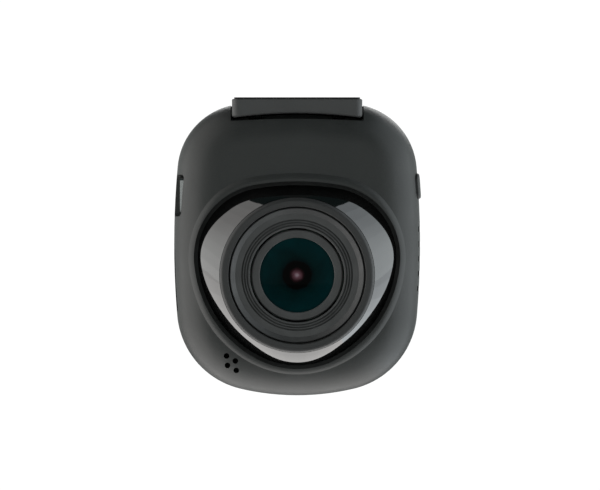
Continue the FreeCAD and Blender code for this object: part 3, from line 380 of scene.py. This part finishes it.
# Backdrop, room and floor; the ceiling darkens between two heights on the unit sphere.
BACKDROP_LIGHT = 1.05
ROOM_LIGHT = 0.48
ROOM = (0.93, 1.0, 0.98)
CEILING = (0.03, 0.05, 0.05)
CEILING_FROM = 0.15
CEILING_TO = 0.65
FLOOR_DROP = 1.9
FLOOR_SIZE = 40.0
FLOOR_GLOW = 0.12
WHITE = (1.0, 1.0, 1.0)
COOL = (0.90, 0.96, 1.0)
WARM = (1.0, 0.97, 0.95)


def studio_world():
    """White to the camera, a dim cool room with a dark ceiling to everything else."""
    world = bpy.data.worlds.new("studio")
    bpy.context.scene.world = world
    world.use_nodes = True
    tree = world.node_tree
    tree.nodes.clear()
    out = tree.nodes.new("ShaderNodeOutputWorld")
    seen = tree.nodes.new("ShaderNodeBackground")
    seen.inputs["Color"].default_value = (*WHITE, 1.0)
    seen.inputs["Strength"].default_value = BACKDROP_LIGHT
    lit = tree.nodes.new("ShaderNodeBackground")
    lit.inputs["Strength"].default_value = ROOM_LIGHT
    way = tree.nodes.new("ShaderNodeTexCoord")
    split = tree.nodes.new("ShaderNodeSeparateXYZ")
    fade = tree.nodes.new("ShaderNodeMapRange")
    fade.interpolation_type = "SMOOTHSTEP"
    fade.inputs["From Min"].default_value = CEILING_FROM
    fade.inputs["From Max"].default_value = CEILING_TO
    room = tree.nodes.new("ShaderNodeMix")
    room.data_type = "RGBA"
    room.inputs[6].default_value = (*ROOM, 1.0)
    room.inputs[7].default_value = (*CEILING, 1.0)
    path = tree.nodes.new("ShaderNodeLightPath")
    mix = tree.nodes.new("ShaderNodeMixShader")
    tree.links.new(way.outputs["Generated"], split.inputs[0])
    tree.links.new(split.outputs["Z"], fade.inputs["Value"])
    tree.links.new(fade.outputs["Result"], room.inputs["Factor"])
    tree.links.new(room.outputs[2], lit.inputs["Color"])
    tree.links.new(path.outputs["Is Camera Ray"], mix.inputs[0])
    tree.links.new(lit.outputs[0], mix.inputs[1])
    tree.links.new(seen.outputs[0], mix.inputs[2])
    tree.links.new(mix.outputs[0], out.inputs[0])


def soft_box(name, spot, rotation, size, light, colour):
    """Rectangular soft box of an even brightness."""
    data = bpy.data.lights.new(name, "AREA")
    data.shape = "RECTANGLE"
    data.size, data.size_y = size
    data.energy = math.pi * light * size[0] * size[1]
    data.color = colour
    box = bpy.data.objects.new(name, data)
    bpy.context.scene.collection.objects.link(box)
    box.location = spot
    box.rotation_euler = rotation


def ring_box(name, angle, half, near, far, light, colour):
    """Soft box round the lens axis, half degrees to either side, from depth near to far."""
    out = Vector((math.cos(math.radians(angle)), 0.0, math.sin(math.radians(angle))))
    along = Vector((0.0, 1.0, 0.0))
    turn = Matrix((along.cross(out), along, out)).transposed().to_euler()
    size = (2 * RING * math.tan(math.radians(half)), far - near)
    soft_box(name, LENS + out * RING + along * (near + far) / 2, turn, size, light, colour)


def ring_light(angle):
    """Brightness round the ring: dim high on the sides and strong underneath."""
    for (a, low), (b, high) in zip(RING_MARKS, RING_MARKS[1:]):
        if a <= angle <= b:
            return low + (high - low) * (angle - a) / (b - a)
    return 0.0


def light_ring():
    """Horseshoe of narrow soft boxes, open at the top; underneath it lies further back."""
    for angle in range(RING_START, RING_END, RING_STEP):
        low = max(0.0, -math.sin(math.radians(angle))) ** 2
        colour = COOL if angle > COOL_FROM else WARM
        ring_box("ring_%03d" % angle, angle, RING_STEP / 2, SIDE_NEAR + UNDER_SHIFT * low,
                 SIDE_FAR + UNDER_SHIFT * low, ring_light(angle), colour)


def aimed_box(name, spot, size, light):
    """Soft box turned towards the lens."""
    aim = (LENS - Vector(spot)).to_track_quat("-Z", "Y").to_euler()
    soft_box(name, spot, aim, size, light, WHITE)


def make_floor():
    """Pale floor far below, which also fills the case from underneath."""
    bpy.ops.mesh.primitive_plane_add(size=FLOOR_SIZE, location=(0, 0, cad_box[0].z - FLOOR_DROP))
    floor = bpy.context.object
    floor.name = "floor"
    s = Shader("floor_white", Roughness=0.9, Emission_Color=(*WHITE, 1.0),
               Emission_Strength=FLOOR_GLOW)
    s.colour(s.blend(s.noise(0.3), grey(0.86), grey(0.9)))
    floor.data.materials.append(s.mat)


studio_world()
make_floor()
light_ring()
aimed_box("rear_box", (0.3, 1.6, 0.8), (1.4, 0.8), 2.0)
bpy.context.scene.view_settings.view_transform = "Standard"
